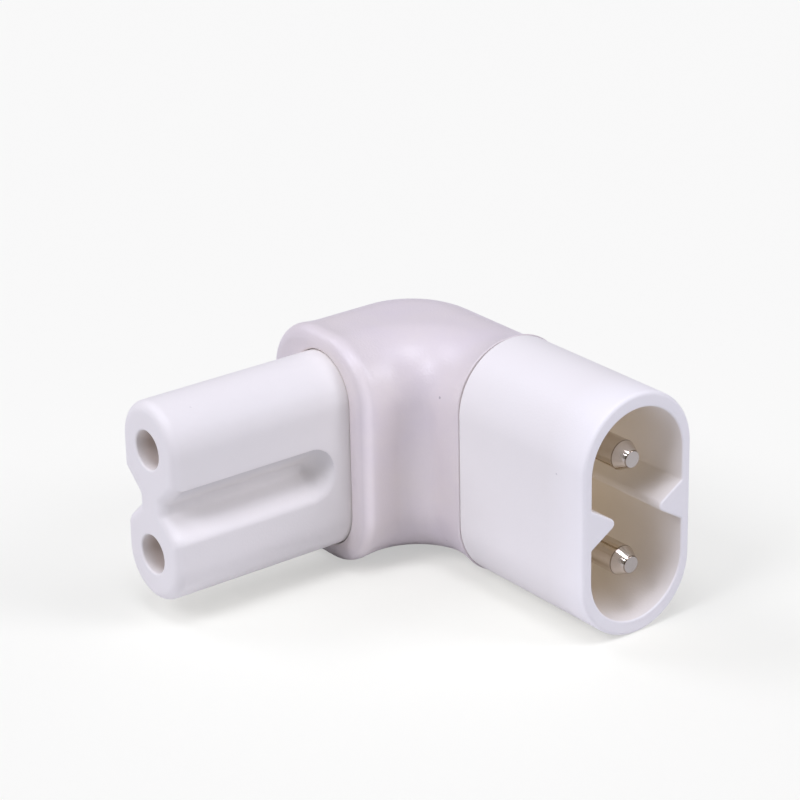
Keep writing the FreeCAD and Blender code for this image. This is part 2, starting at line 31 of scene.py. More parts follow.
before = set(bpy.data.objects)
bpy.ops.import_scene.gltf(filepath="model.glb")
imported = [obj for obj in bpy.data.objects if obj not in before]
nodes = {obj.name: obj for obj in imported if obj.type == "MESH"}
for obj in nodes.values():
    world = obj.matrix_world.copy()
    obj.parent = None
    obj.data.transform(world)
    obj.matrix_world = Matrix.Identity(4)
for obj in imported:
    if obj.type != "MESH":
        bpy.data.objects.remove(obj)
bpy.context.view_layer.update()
shift = np.array([-9.05, 10.675, 9.75])  # from the crossing of the arms to the part's own origin
poleSpacing = 8.6
weldGap = 1e-7  # metres
capGap = 1e-6  # millimetres
wallGap = 0.01  # millimetres within which a point counts as lying on a wall
print("frame loaded")


def arc(centre, radius, start, stop, steps):
    angles = np.radians(np.linspace(start, stop, steps + 1))
    return np.column_stack([centre[0] + radius * np.cos(angles), centre[1] + radius * np.sin(angles)])


def acrossX(x, loop):
    return np.column_stack([np.full(len(loop), x), loop])


def acrossY(y, loop):
    return np.column_stack([loop[:, 0], np.full(len(loop), y), loop[:, 1]])


def inside(point, outline):
    crossings = 0
    for one, two in zip(outline, outline[1:] + outline[:1]):
        if (one.y > point.y) != (two.y > point.y):
            crossings += point.x < one.x + (point.y - one.y) * (two.x - one.x) / (two.y - one.y)
    return crossings % 2 == 1


class Shell:
    def __init__(self):
        self.points = []
        self.faces = []

    def loop(self, points):
        first = len(self.points)
        self.points.extend(map(tuple, points))
        return list(range(first, len(self.points)))

    def bridge(self, one, two):
        count = len(one)
        for k in range(count):
            nextOne = (k + 1) % count
            self.faces.append((one[k], one[nextOne], two[nextOne], two[k]))

    def tube(self, rings):
        loops = [self.loop(ring) for ring in rings]
        for one, two in zip(loops, loops[1:]):
            self.bridge(one, two)
        return loops[0], loops[-1]

    # Fills a flat face: the first loop is its outline and the others are holes
    def cap(self, loops, axes):
        members = [index for ring in loops for index in ring]
        flat = [Vector((self.points[index][axes[0]], self.points[index][axes[1]])) for index in members]
        edges = []
        first = 0
        for ring in loops:
            count = len(ring)
            edges.extend((first + k, first + (k + 1) % count) for k in range(count))
            first += count
        result = delaunay_2d_cdt(flat, edges, [], 1, capGap)
        holes = [[flat[members.index(index)] for index in ring] for ring in loops[1:]]
        for face in result[2]:
            middle = sum((result[0][corner] for corner in face), Vector((0, 0))) / len(face)
            if not any(inside(middle, hole) for hole in holes):
                self.faces.append(tuple(members[result[3][corner][0]] for corner in face))

    # Each field gives a point attribute its value from the place in millimetres
    def build(self, name, **fields):
        mesh = bpy.data.meshes.new(name)
        place = (np.array(self.points) + shift) / 1000
        mesh.from_pydata([tuple(point) for point in place], [], self.faces)
        shape = bmesh.new()
        shape.from_mesh(mesh)
        bmesh.ops.remove_doubles(shape, verts=shape.verts, dist=weldGap)
        bmesh.ops.recalc_face_normals(shape, faces=shape.faces)
        for face in shape.faces:
            face.smooth = True
        shape.to_mesh(mesh)
        shape.free()
        for label, field in fields.items():
            layer = mesh.attributes.new(label, "FLOAT", "POINT")
            values = [field(*(np.array(point.co) * 1000 - shift)) for point in mesh.vertices]
            layer.data.foreach_set("value", values)
        item = bpy.data.objects.new(name, mesh)
        bpy.context.scene.collection.objects.link(item)
        return item


def slotLoop(width, height, inset=0.0, arcSteps=48, sideSteps=12):
    radius = width / 2
    reach = height / 2 - radius
    side = np.linspace(-reach, reach, sideSteps + 1)[1:-1]
    size = radius - inset
    return np.vstack([
        arc((0, reach), size, 0, 180, arcSteps),
        np.column_stack([np.full(len(side), -size), side[::-1]]),
        arc((0, -reach), size, 180, 360, arcSteps),
        np.column_stack([np.full(len(side), size), side])])


def circleLoop(radius, centre, steps=48):
    return arc(centre, radius, 0, 360, steps)[:-1]


# Pairs of distance back from a face and inset from its outline, along a round edge
def edgeSteps(radius, count=5):
    turns = np.radians(np.linspace(0, 90, count + 1))
    return [(radius * (1 - math.sin(turn)), radius * (1 - math.cos(turn))) for turn in turns]


elbow = {
    # the sweep round the inner corner and the section it carries
    "pivot": (7.95, -7.65), "outerCentre": (1.1, -2.7), "outerRadius": 8.0, "innerRadius": 2.35,
    "acrossInlet": 12.95, "acrossSocket": 14.85, "roll": 5.0, "waist": 9.325, "full": 9.75,
    # the two ends
    "seamReach": 10.4, "seamFoot": 8.0, "seamEdge": 0.1,
    "collarReach": 10.6, "collarFoot": 7.7, "collarRound": 1.3, "collarFlat": 0.05,
    "seatEdge": 0.14, "seatFlat": 0.056, "seatGap": 0.07, "seatDepth": 1.3,
    "neck": (6.8, 15.4), "lip": (8.2, 16.8), "neckEnd": 8.4, "lipEnd": 7.0,
    # rings along the sweep
    "seamRings": 14, "cornerRings": 41, "collarRings": 12, "edgeRings": 4, "roundRings": 18,
    # the painted highlight streak on the collar's rounding, placed by the cosine of its turn, and the
    # streak's tail
    "streakAt": 0.53, "streakHalf": 0.34, "tailAt": 0.29, "tailShare": 0.5, "tailFall": 0.25}


# How far the elbow's outer side lies from the pivot in the direction of the turn
def outerReach(turn, inset):
    pivot = Vector(elbow["pivot"])
    way = Vector((math.cos(turn), math.sin(turn)))
    top = elbow["acrossInlet"] - inset
    if way.y > 1e-6 and pivot.x + top / way.y * way.x >= elbow["outerCentre"][0]:
        return top / way.y
    left = elbow["acrossSocket"] - inset
    if way.x < -1e-6 and pivot.y - left / way.x * way.y <= elbow["outerCentre"][1]:
        return -left / way.x
    away = Vector(elbow["outerCentre"]) - pivot
    along = away.dot(way)
    radius = elbow["outerRadius"] - inset
    return along + math.sqrt(along ** 2 - away.length_squared + radius ** 2)


def elbowRing(start, turn, height, inset=0.0, rollSteps=16, sideSteps=10):
    way = np.array([math.cos(turn), math.sin(turn)])
    roll = elbow["roll"]
    angles = np.radians(np.linspace(0, 90, rollSteps + 1))
    insets = roll - (roll - inset) * np.cos(angles)
    rises = height - roll + (roll - inset) * np.sin(angles)
    outerTop = [(outerReach(turn, gap), rise) for gap, rise in zip(insets, rises)]
    innerTop = [(elbow["innerRadius"] + gap, rise) for gap, rise in zip(insets, rises)]
    side = np.linspace(-(height - roll), height - roll, sideSteps + 1)[1:-1]
    outerSide = [(outerTop[0][0], rise) for rise in side]
    innerSide = [(innerTop[0][0], rise) for rise in side[::-1]]
    topMiddle = [((outerTop[-1][0] * k + innerTop[-1][0] * (3 - k)) / 3, outerTop[-1][1]) for k in (2, 1)]
    lowMiddle = [(reach, -rise) for reach, rise in topMiddle[::-1]]
    outerLow = [(reach, -rise) for reach, rise in outerTop[::-1]]
    innerLow = [(reach, -rise) for reach, rise in innerTop]
    ring = outerSide + outerTop + topMiddle + innerTop[::-1] + innerSide + innerLow + lowMiddle + outerLow
    return np.array([(*(np.array(start) + way * reach), rise) for reach, rise in ring])


# Half height of the elbow, which grows along an arc from the foot of a flare to its end
def flare(distance, length):
    rise = elbow["full"] - elbow["waist"]
    radius = (length ** 2 + rise ** 2) / (2 * rise)
    return elbow["waist"] + radius - math.sqrt(radius ** 2 - max(distance, 0.0) ** 2)


def makeElbow():
    shell = Shell()
    pivot = elbow["pivot"]
    seam, foot = elbow["seamReach"], elbow["seamFoot"]
    rings = []
    for back, inset in edgeSteps(elbow["seamEdge"], elbow["edgeRings"])[::-1]:
        x = seam - back
        rings.append(elbowRing((x, pivot[1]), math.pi / 2, flare(x - foot, seam - foot), inset))
    for x in np.linspace(seam - elbow["seamEdge"] * 2, foot, elbow["seamRings"]):
        rings.append(elbowRing((x, pivot[1]), math.pi / 2, flare(x - foot, seam - foot)))
    for turn in np.radians(np.linspace(90, 180, elbow["cornerRings"])):
        rings.append(elbowRing(pivot, turn, elbow["waist"]))
    reach, foot, soft = elbow["collarReach"], elbow["collarFoot"], elbow["collarRound"]
    for y in np.linspace(foot, reach - soft, elbow["collarRings"]):
        rings.append(elbowRing((pivot[0], -y), math.pi, flare(y - foot, reach - foot)))
    for back, inset in edgeSteps(soft, elbow["roundRings"])[1:]:
        y = reach - back
        rings.append(elbowRing((pivot[0], -y), math.pi, flare(y - foot, reach - foot), inset))
    rings.append(elbowRing((pivot[0], -reach), math.pi, elbow["full"], soft + elbow["collarFlat"]))
    seamRing, collarRing = shell.tube(rings)
    # the seat that the socket stands in, and the neck and lip that the inlet is anchored by
    gap, lip = elbow["seatGap"], elbow["seatEdge"]
    size = socket["width"], socket["height"]
    seat = [acrossY(-reach, slotLoop(*size, -gap - lip - elbow["seatFlat"]))]
    for back, inset in edgeSteps(lip, elbow["edgeRings"])[::-1]:
        seat.append(acrossY(back - reach, slotLoop(*size, -gap - inset)))
    seat.append(acrossY(elbow["seatDepth"] - reach, slotLoop(*size, -gap)))
    mouth, floor = shell.tube(seat)
    shell.cap([collarRing, mouth], (0, 2))
    shell.cap([floor], (0, 2))
    neck, wide = elbow["neck"], elbow["lip"]
    inner = [
        acrossX(seam, slotLoop(*neck)), acrossX(elbow["neckEnd"], slotLoop(*neck)),
        acrossX(elbow["neckEnd"], slotLoop(*wide)), acrossX(elbow["lipEnd"], slotLoop(*wide))]
    mouth, floor = shell.tube(inner)
    shell.cap([seamRing, mouth], (1, 2))
    shell.cap([floor], (1, 2))

    # painted highlight along the collar's rounding, with a fading tail onto the side, weaker towards the top
    # and bottom
    def edge(x, y, z):
        lean = 1 - (reach + y) / soft
        upright = min((elbow["full"] - abs(z)) / elbow["roll"], 1.0)
        streak = 1 - ((lean - elbow["streakAt"]) / elbow["streakHalf"]) ** 2
        tail = elbow["tailShare"] + elbow["tailFall"] * min(lean, 0.0) if lean < elbow["tailAt"] else 0.0
        return max(streak, tail, 0.0) * max(upright, 0.0)

    return shell.build("elbow", edge=edge)


shroud = {
    "seam": 10.4, "rim": 25.0, "width": 10.5, "height": 19.5, "rimEdge": 0.3, "innerEdge": 0.14, "flat": 0.04,
    "seamEdge": 0.08, "seamGap": 0.07, "seamDepth": 0.5,
    "mouthWidth": 8.86, "mouthHeight": 17.14, "floor": 12.6,
    "ribRoot": 1.6, "ribStand": 2.6, "crest": 0.45, "rootRound": 0.2,
    "neck": (6.8, 15.4), "lip": (8.2, 16.8), "neckEnd": 8.4, "back": 7.0, "neckSlip": 0.02,
    # stations and radii of the way that a pin takes through the floor
    "pinWay": ((12.6, 1.52), (10.2, 1.52), (10.2, 1.82), (9.2, 1.82), (9.2, 0.97), (7.0, 0.97)),
    # how far the long stretches of rings stay off the edges and the floor
    "offEdge": 0.1, "offFloor": 0.3,
    # how far back from the rim the painted light on the wall reaches
    "lightLength": 4.0}


# Outline of the mouth with its two keying ribs
def keyedLoop(grow=0.0):
    wall = shroud["mouthWidth"] / 2
    reach = shroud["mouthHeight"] / 2 - wall
    lean = math.degrees(math.atan2(shroud["ribStand"], shroud["ribRoot"]))
    half = math.radians(90 - lean)
    crest = (wall - shroud["ribStand"] + shroud["crest"] / math.sin(half), 0)
    soft = shroud["rootRound"]
    rootRise = shroud["ribRoot"] + soft * (1 - math.sin(half)) / math.cos(half)
    root = (wall - soft, rootRise)
    upper = [(wall + grow, rise) for rise in np.linspace(reach, rootRise, 7)[1:-1]]
    right = np.vstack([
        upper,
        arc(root, soft + grow, 0, -lean, 5),
        arc(crest, shroud["crest"] - grow, 180 - lean, 180 + lean, 12),
        arc((root[0], -root[1]), soft + grow, lean, 0, 5),
        [(x, -y) for x, y in upper[::-1]]])
    left = right[::-1] * (-1, 1)
    size = wall + grow
    return np.vstack([arc((0, reach), size, 180, 0, 48), right, arc((0, -reach), size, 0, -180, 48), left])


def makeInlet():
    shell = Shell()
    seam, rim = shroud["seam"], shroud["rim"]
    size = shroud["width"], shroud["height"]
    gap, depth, flat = shroud["seamGap"], shroud["seamDepth"], shroud["flat"]
    # a narrow open seam, then the outside up to the rim
    rings = [acrossX(seam, slotLoop(*size, depth)), acrossX(seam + gap, slotLoop(*size, depth))]
    rings.append(acrossX(seam + gap, slotLoop(*size, shroud["seamEdge"] + flat)))
    for back, inset in edgeSteps(shroud["seamEdge"], 4)[::-1]:
        rings.append(acrossX(seam + gap + back, slotLoop(*size, inset)))
    for x in np.linspace(seam + shroud["offFloor"], rim - shroud["rimEdge"] - shroud["offEdge"], 12):
        rings.append(acrossX(x, slotLoop(*size)))
    rings += [acrossX(rim - back, slotLoop(*size, inset)) for back, inset in edgeSteps(shroud["rimEdge"], 7)]
    rings.append(acrossX(rim, slotLoop(*size, shroud["rimEdge"] + flat)))
    start, outerRim = shell.tube(rings)
    # the mouth with its ribs, from the rim down to the floor
    soft = shroud["innerEdge"]
    rings = [acrossX(rim, keyedLoop(soft + flat))]
    rings += [acrossX(rim - back, keyedLoop(inset)) for back, inset in edgeSteps(soft, 4)[::-1]]
    for x in np.linspace(rim - soft - shroud["offEdge"], shroud["floor"] + shroud["offFloor"], 10):
        rings.append(acrossX(x, keyedLoop()))
    rings.append(acrossX(shroud["floor"], keyedLoop()))
    innerRim, floor = shell.tube(rings)
    shell.cap([outerRim, innerRim], (1, 2))
    ways = []
    for side in (1, -1):
        centre = (0, poleSpacing / 2 * side)
        ways.append(shell.tube([acrossX(x, circleLoop(radius, centre)) for x, radius in shroud["pinWay"]]))
    shell.cap([floor] + [way[0] for way in ways], (1, 2))
    neck, wide = (slotLoop(*shroud[name], shroud["neckSlip"]) for name in ("neck", "lip"))
    rear = [
        acrossX(seam, neck), acrossX(shroud["neckEnd"], neck),
        acrossX(shroud["neckEnd"], wide), acrossX(shroud["back"], wide)]
    first, last = shell.tube(rear)
    shell.cap([start, first], (1, 2))
    shell.cap([last] + [way[1] for way in ways], (1, 2))

    # 0 outside and at the rim, growing to 1 at the floor
    # it drives a painted glow and a lighter colour inside the mouth, standing for light let through the thin
    # wall
    def hollow(x, y, z):
        wall = shroud["mouthWidth"] / 2
        if math.hypot(y, max(abs(z) - shroud["mouthHeight"] / 2 + wall, 0.0)) > wall + wallGap:
            return 0.0
        return min(max((rim - soft - x) / (rim - shroud["floor"]), 0.0), 1.0)

    # painted light on the outer wall and rim, strongest at the rim and fading back from it
    def edge(x, y, z):
        return max(1 - (rim - x) / shroud["lightLength"], 0.0) if hollow(x, y, z) == 0 else 0.0

    return shell.build("inletHousing", hollow=hollow, edge=edge)


socket = {
    "width": 7.1, "height": 16.14, "face": 26.65, "faceEdge": 0.8, "faceFlat": 0.03,
    "back": 7.8, "flange": (8.1, 17.14), "flangeEnd": 9.4,
    # the keying groove, with its two mouth edges softened unlike each other
    "grooveDepth": 1.9, "grooveDrop": 0.2, "floorHalf": 0.4, "mouthHalf": 2.13, "grooveStop": 14.18,
    "floorSoft": 0.2, "upperSoft": 0.1, "lowerSoft": 0.38,
    "entry": 1.55, "entryEdge": 0.15, "entryFlat": 0.02, "entryMiddle": 1.5, "entryDepth": 3.5,
    "chamber": 1.9, "recess": (4.9, 13.5), "recessDepth": 1.2,
    # fine steps across the groove, and along it round its blind end
    "fineHalf": 2.5, "fineSteps": 100, "fineBefore": 2.48, "fineAfter": 0.1, "fineGap": 0.05,
    "coarseAfter": 0.8, "offEdge": 0.1,
    # how much of the shade reaches the groove's floor, and how soon an entry counts as deep
    "floorShade": 0.3, "entryFade": 3.0}
flankSlope = socket["grooveDepth"] / (socket["mouthHalf"] - socket["floorHalf"])


# Depth of the groove at a distance from its middle line, with the floor's foot and the mouth's edge blended
def grooveDepth(away, soft):
    floor, mouth, blend = socket["floorHalf"], socket["mouthHalf"], socket["floorSoft"]
    if away > mouth - soft:
        return flankSlope * max(mouth + soft - away, 0.0) ** 2 / (4 * soft)
    if away > floor + blend:
        return flankSlope * (mouth - away)
    return socket["grooveDepth"] - flankSlope * max(away - floor + blend, 0.0) ** 2 / (4 * blend)


def socketRing(y, inset=0.0):
    half = socket["width"] / 2
    reach = socket["height"] / 2 - half
    fine = np.linspace(-socket["fineHalf"], socket["fineHalf"], socket["fineSteps"] + 1)
    plain = np.linspace(socket["fineHalf"], reach, 8)[1:]
    rises = np.concatenate([-plain[::-1], fine, plain])
    past = min(y - socket["grooveStop"], 0.0)
    softs = np.interp(rises, (-1.0, 1.0), (socket["lowerSoft"], socket["upperSoft"]))
    depths = [grooveDepth(math.hypot(rise, past), soft) for rise, soft in zip(rises, softs)]
    # an inset outline keeps its distance from the flanks, so its groove is also a little wider
    spread = inset * (math.hypot(1, flankSlope) - 1) / flankSlope
    spread = spread * np.clip(rises / socket["floorHalf"], -1, 1)
    ease = np.clip((reach - np.abs(rises)) / (reach - socket["mouthHalf"]), 0, 1)
    right = np.column_stack([half - inset - np.array(depths), rises + (spread - socket["grooveDrop"]) * ease])
    left = right[::-1] * (-1, 1)
    crown = arc((0, reach), half - inset, 0, 180, 40)
    foot = arc((0, -reach), half - inset, 180, 360, 40)
    return np.vstack([side[:-1] for side in (right, crown, left, foot)])


def makeSocket():
    shell = Shell()
    face, stop = socket["face"], socket["grooveStop"]
    fineFrom = stop - socket["fineBefore"]
    coarseTo = face - socket["faceEdge"] - socket["offEdge"]
    stations = np.concatenate([
        np.linspace(socket["flangeEnd"], fineFrom, 6),
        np.linspace(fineFrom + socket["fineGap"], stop + socket["fineAfter"], 50),
        np.linspace(stop + socket["coarseAfter"], coarseTo, 20)])
    rings = [acrossY(-y, socketRing(y)) for y in stations]
    for back, inset in edgeSteps(socket["faceEdge"], 10):
        rings.append(acrossY(back - face, socketRing(face, inset)))
    rings.append(acrossY(-face, socketRing(face, socket["faceEdge"] + socket["faceFlat"])))
    base, front = shell.tube(rings)
    holes, backs = [], []
    recessFloor = socket["back"] + socket["recessDepth"]
    for side in (1, -1):
        centre = (0, poleSpacing / 2 * side)
        soft, entry = socket["entryEdge"], socket["entry"]
        way = [acrossY(-face, circleLoop(entry + soft + socket["entryFlat"], centre))]
        for back, inset in edgeSteps(soft, 4)[::-1]:
            way.append(acrossY(back - face, circleLoop(entry + inset, centre)))
        for y in (soft + socket["fineGap"], socket["entryMiddle"], socket["entryDepth"]):
            way.append(acrossY(y - face, circleLoop(entry, centre)))
        way.append(acrossY(socket["entryDepth"] - face, circleLoop(socket["chamber"], centre)))
        way.append(acrossY(-recessFloor, circleLoop(socket["chamber"], centre)))
        first, last = shell.tube(way)
        holes.append(first)
        backs.append(last)
    shell.cap([front] + holes, (0, 2))
    flange, recess = slotLoop(*socket["flange"]), slotLoop(*socket["recess"])
    outer, inner = shell.tube([acrossY(-socket["flangeEnd"], flange), acrossY(-socket["back"], flange)])
    lip, floor = shell.tube([acrossY(-socket["back"], recess), acrossY(-recessFloor, recess)])
    shell.cap([inner, lip], (0, 2))
    shell.cap([floor] + backs, (0, 2))
    shell.cap([outer, base], (0, 2))

    # 0 outside, growing to 1 inside an entry
    # it darkens the entries with painted shade
    def hollow(x, y, z):
        if math.hypot(x, abs(z) - poleSpacing / 2) > socket["chamber"] + wallGap:
            return 0.0
        return min(max((y + face - socket["entryEdge"]) / socket["entryFade"], 0.0), 1.0)

    # 1 under the upper edge of a groove, falling towards its floor and its blind end: painted shade on the
    # upper flank
    def edge(x, y, z):
        rise = z + socket["grooveDrop"]
        away = math.hypot(rise, min(-y - stop, 0.0))
        floor, mouth = socket["floorHalf"], socket["mouthHalf"]
        if rise <= -floor or away > mouth or abs(x) > socket["width"] / 2 - wallGap * 2:
            return 0.0
        slope = max(away - floor, 0.0) / (mouth - floor) * max(rise, 0.0) / max(away, floor)
        low = socket["floorShade"]
        share = low * min((rise + floor) / floor / 2, 1.0) + (1 - low) * slope
        return share * min(max((face + y) / socket["faceEdge"] * 2 - 1, 0.0), 1.0)

    return shell.build("socketHousing", hollow=hollow, edge=edge)


pin = {
    "profile": (
        (4.6, 0.0), (4.6, 0.95), (9.2, 0.95), (9.2, 1.8), (10.2, 1.8), (10.2, 1.5), (12.6, 1.5), (12.6, 1.18),
        (16.0, 1.18), (20.0, 1.18), (23.0, 1.18)),
    "coneFoot": 23.31, "tip": 24.36, "radius": 1.18, "tipRadius": 0.65, "coneRound": 0.05, "endRound": 0.07,
    "endFlat": 0.01, "segments": 65,
    # the painted shade line at the end lies this far behind the tip
    "lineBack": 0.06}


# Stations and radii of a pin from its tail to the middle of its end
def pinProfile():
    slope = math.atan2(pin["radius"] - pin["tipRadius"], pin["tip"] - pin["coneFoot"])
    bend = pin["coneRound"] * math.tan(slope / 2)
    centre = (pin["coneFoot"] - bend, pin["radius"] - pin["coneRound"])
    knee = arc(centre, pin["coneRound"], 90, 90 - math.degrees(slope), 6)
    soft = pin["endRound"]
    turnEnd = math.pi / 2 - slope
    back = soft * math.tan(turnEnd / 2)
    endCentre = (pin["tip"] - soft, pin["tipRadius"] - back)
    lip = arc(endCentre, soft, 90 - math.degrees(slope), 0, 5)
    disc = [(pin["tip"], radius) for radius in np.linspace(endCentre[1] - pin["endFlat"], 0.0, 6)]
    return np.vstack([pin["profile"], knee, lip, disc])


# Turns a profile given as a line of points about X and sets one copy at each pole
def turnedPairTree():
    tree = bpy.data.node_groups.new("turnedPair", "GeometryNodeTree")
    face = tree.interface
    face.new_socket("Profile", in_out="INPUT", socket_type="NodeSocketGeometry")
    face.new_socket("Stations", in_out="INPUT", socket_type="NodeSocketInt")
    face.new_socket("Segments", in_out="INPUT", socket_type="NodeSocketInt")
    face.new_socket("Pole spacing", in_out="INPUT", socket_type="NodeSocketFloat")
    face.new_socket("Material", in_out="INPUT", socket_type="NodeSocketMaterial")
    face.new_socket("Geometry", in_out="OUTPUT", socket_type="NodeSocketGeometry")
    link = tree.links.new

    def node(kind, **settings):
        made = tree.nodes.new(kind)
        for key, value in settings.items():
            setattr(made, key, value)
        return made

    def maths(operation, one, two):
        made = node("ShaderNodeMath", operation=operation)
        for socketIn, value in zip(made.inputs, (one, two)):
            if isinstance(value, (int, float)):
                socketIn.default_value = value
            else:
                link(value, socketIn)
        return made.outputs[0]

    enter = node("NodeGroupInput").outputs
    grid = node("GeometryNodeMeshGrid")
    link(enter["Stations"], grid.inputs["Vertices X"])
    link(enter["Segments"], grid.inputs["Vertices Y"])
    index = node("GeometryNodeInputIndex").outputs[0]
    station = maths("FLOOR", maths("DIVIDE", maths("ADD", index, 0.5), enter["Segments"]), 0.0)
    column = maths("SUBTRACT", index, maths("MULTIPLY", station, enter["Segments"]))
    turn = maths("DIVIDE", maths("MULTIPLY", column, math.tau), maths("SUBTRACT", enter["Segments"], 1.0))
    sample = node("GeometryNodeSampleIndex", data_type="FLOAT_VECTOR", domain="POINT")
    link(enter["Profile"], sample.inputs["Geometry"])
    link(node("GeometryNodeInputPosition").outputs[0], sample.inputs["Value"])
    link(station, sample.inputs["Index"])
    parts = node("ShaderNodeSeparateXYZ")
    link(sample.outputs["Value"], parts.inputs[0])
    place = node("ShaderNodeCombineXYZ")
    link(parts.outputs["X"], place.inputs["X"])
    link(maths("MULTIPLY", parts.outputs["Y"], maths("COSINE", turn, 0.0)), place.inputs["Y"])
    link(maths("MULTIPLY", parts.outputs["Y"], maths("SINE", turn, 0.0)), place.inputs["Z"])
    move = node("GeometryNodeSetPosition")
    link(grid.outputs["Mesh"], move.inputs["Geometry"])
    link(place.outputs[0], move.inputs["Position"])
    merge = node("GeometryNodeMergeByDistance")
    merge.inputs["Distance"].default_value = weldGap
    link(move.outputs[0], merge.inputs["Geometry"])
    poles = node("GeometryNodeMeshLine", mode="OFFSET")
    poles.inputs["Count"].default_value = 2
    startAt = node("ShaderNodeCombineXYZ")
    link(maths("MULTIPLY", enter["Pole spacing"], -0.5), startAt.inputs["Z"])
    step = node("ShaderNodeCombineXYZ")
    link(enter["Pole spacing"], step.inputs["Z"])
    link(startAt.outputs[0], poles.inputs["Start Location"])
    link(step.outputs[0], poles.inputs["Offset"])
    copies = node("GeometryNodeInstanceOnPoints")
    link(poles.outputs["Mesh"], copies.inputs["Points"])
    link(merge.outputs[0], copies.inputs["Instance"])
    whole = node("GeometryNodeRealizeInstances")
    link(copies.outputs[0], whole.inputs[0])
    smooth = node("GeometryNodeSetShadeSmooth")
    link(whole.outputs[0], smooth.inputs[0])
    paint = node("GeometryNodeSetMaterial")
    link(smooth.outputs[0], paint.inputs["Geometry"])
    link(enter["Material"], paint.inputs["Material"])
    link(paint.outputs[0], node("NodeGroupOutput").inputs["Geometry"])
    return tree


def makePins(material):
    profile = pinProfile() / 1000
    mesh = bpy.data.meshes.new("pinProfile")
    edges = [(k, k + 1) for k in range(len(profile) - 1)]
    mesh.from_pydata([(x, radius, 0.0) for x, radius in profile], edges, [])
    maker = bpy.data.objects.new("pinMaker", mesh)
    bpy.context.scene.collection.objects.link(maker)
    tree = turnedPairTree()
    modifier = maker.modifiers.new("turnedPair", "NODES")
    modifier.node_group = tree
    sizes = {
        "Stations": len(profile), "Segments": pin["segments"], "Pole spacing": poleSpacing / 1000,
        "Material": material}
    for item in tree.interface.items_tree:
        if item.in_out == "INPUT" and item.name in sizes:
            modifier[item.identifier] = sizes[item.name]
    maker.update_tag()
    bpy.context.view_layer.update()
    evaluated = maker.evaluated_get(bpy.context.evaluated_depsgraph_get())
    made = bpy.data.meshes.new_from_object(evaluated)
    maker.modifiers.remove(modifier)
    bpy.data.objects.remove(maker)
    made.transform(Matrix.Translation(Vector(shift / 1000)))
    shape = bmesh.new()
    shape.from_mesh(made)
    bmesh.ops.recalc_face_normals(shape, faces=shape.faces)
    shape.to_mesh(made)
    shape.free()
    made.name = "inletPins"
    item = bpy.data.objects.new("inletPins", made)
    bpy.context.scene.collection.objects.link(item)
    return item


def nodeGroup(name, inputs, outputs):
    tree = bpy.data.node_groups.new(name, "ShaderNodeTree")
    for label, kind, value in inputs:
        made = tree.interface.new_socket(label, in_out="INPUT", socket_type="NodeSocket" + kind)
        made.default_value = value
    for label, kind in outputs:
        tree.interface.new_socket(label, in_out="OUTPUT", socket_type="NodeSocket" + kind)
    return tree, tree.nodes.new("NodeGroupInput").outputs, tree.nodes.new("NodeGroupOutput").inputs


def noise(tree, vector, scale, detail=3.0, roughness=0.55):
    made = tree.nodes.new("ShaderNodeTexNoise")
    made.inputs["Detail"].default_value = detail
    made.inputs["Roughness"].default_value = roughness
    if isinstance(scale, (int, float)):
        made.inputs["Scale"].default_value = scale
    else:
        tree.links.new(scale, made.inputs["Scale"])
    tree.links.new(vector, made.inputs["Vector"])
    return made.outputs["Fac"]


def calc(tree, operation, one, two=0.0, clamp=False):
    made = tree.nodes.new("ShaderNodeMath")
    made.operation = operation
    made.use_clamp = clamp
    for socketIn, value in zip(made.inputs, (one, two)):
        if isinstance(value, (int, float)):
            socketIn.default_value = value
        else:
            tree.links.new(value, socketIn)
    return made.outputs[0]


def mixColour(tree, share, one, two, blend="MIX"):
    made = tree.nodes.new("ShaderNodeMix")
    made.data_type = "RGBA"
    made.blend_type = blend
    for name, value in (("Factor", share), ("A", one), ("B", two)):
        target = [item for item in made.inputs if item.name == name and item.type in ("RGBA", "VALUE")]
        target = [item for item in target if (item.type == "RGBA") == (name != "Factor")][0]
        if isinstance(value, (int, float, tuple)):
            target.default_value = value
        else:
            tree.links.new(value, target)
    return [item for item in made.outputs if item.type == "RGBA"][0]


def field(tree, name):
    made = tree.nodes.new("ShaderNodeAttribute")
    made.attribute_name = name
    return made.outputs["Fac"]


def contrast(tree, value, gain, start):
    return calc(tree, "SUBTRACT", calc(tree, "MULTIPLY", value, gain), start, True)


def unevenRoughness(tree, cloud, spread, roughness):
    swing = calc(tree, "MULTIPLY", calc(tree, "SUBTRACT", cloud, 0.5), spread)
    return calc(tree, "ADD", roughness, swing, True)


skinMarks = {
    "mottleGain": 2.4, "mottleFrom": 0.7, "cloudHeight": 0.6, "hollowRise": 3.0,
    "speckScale": 420.0, "speckSize": 0.05, "groupScale": 300.0, "groupFrom": 0.56,
    "speckColour": (0.16, 0.13, 0.15, 1)}
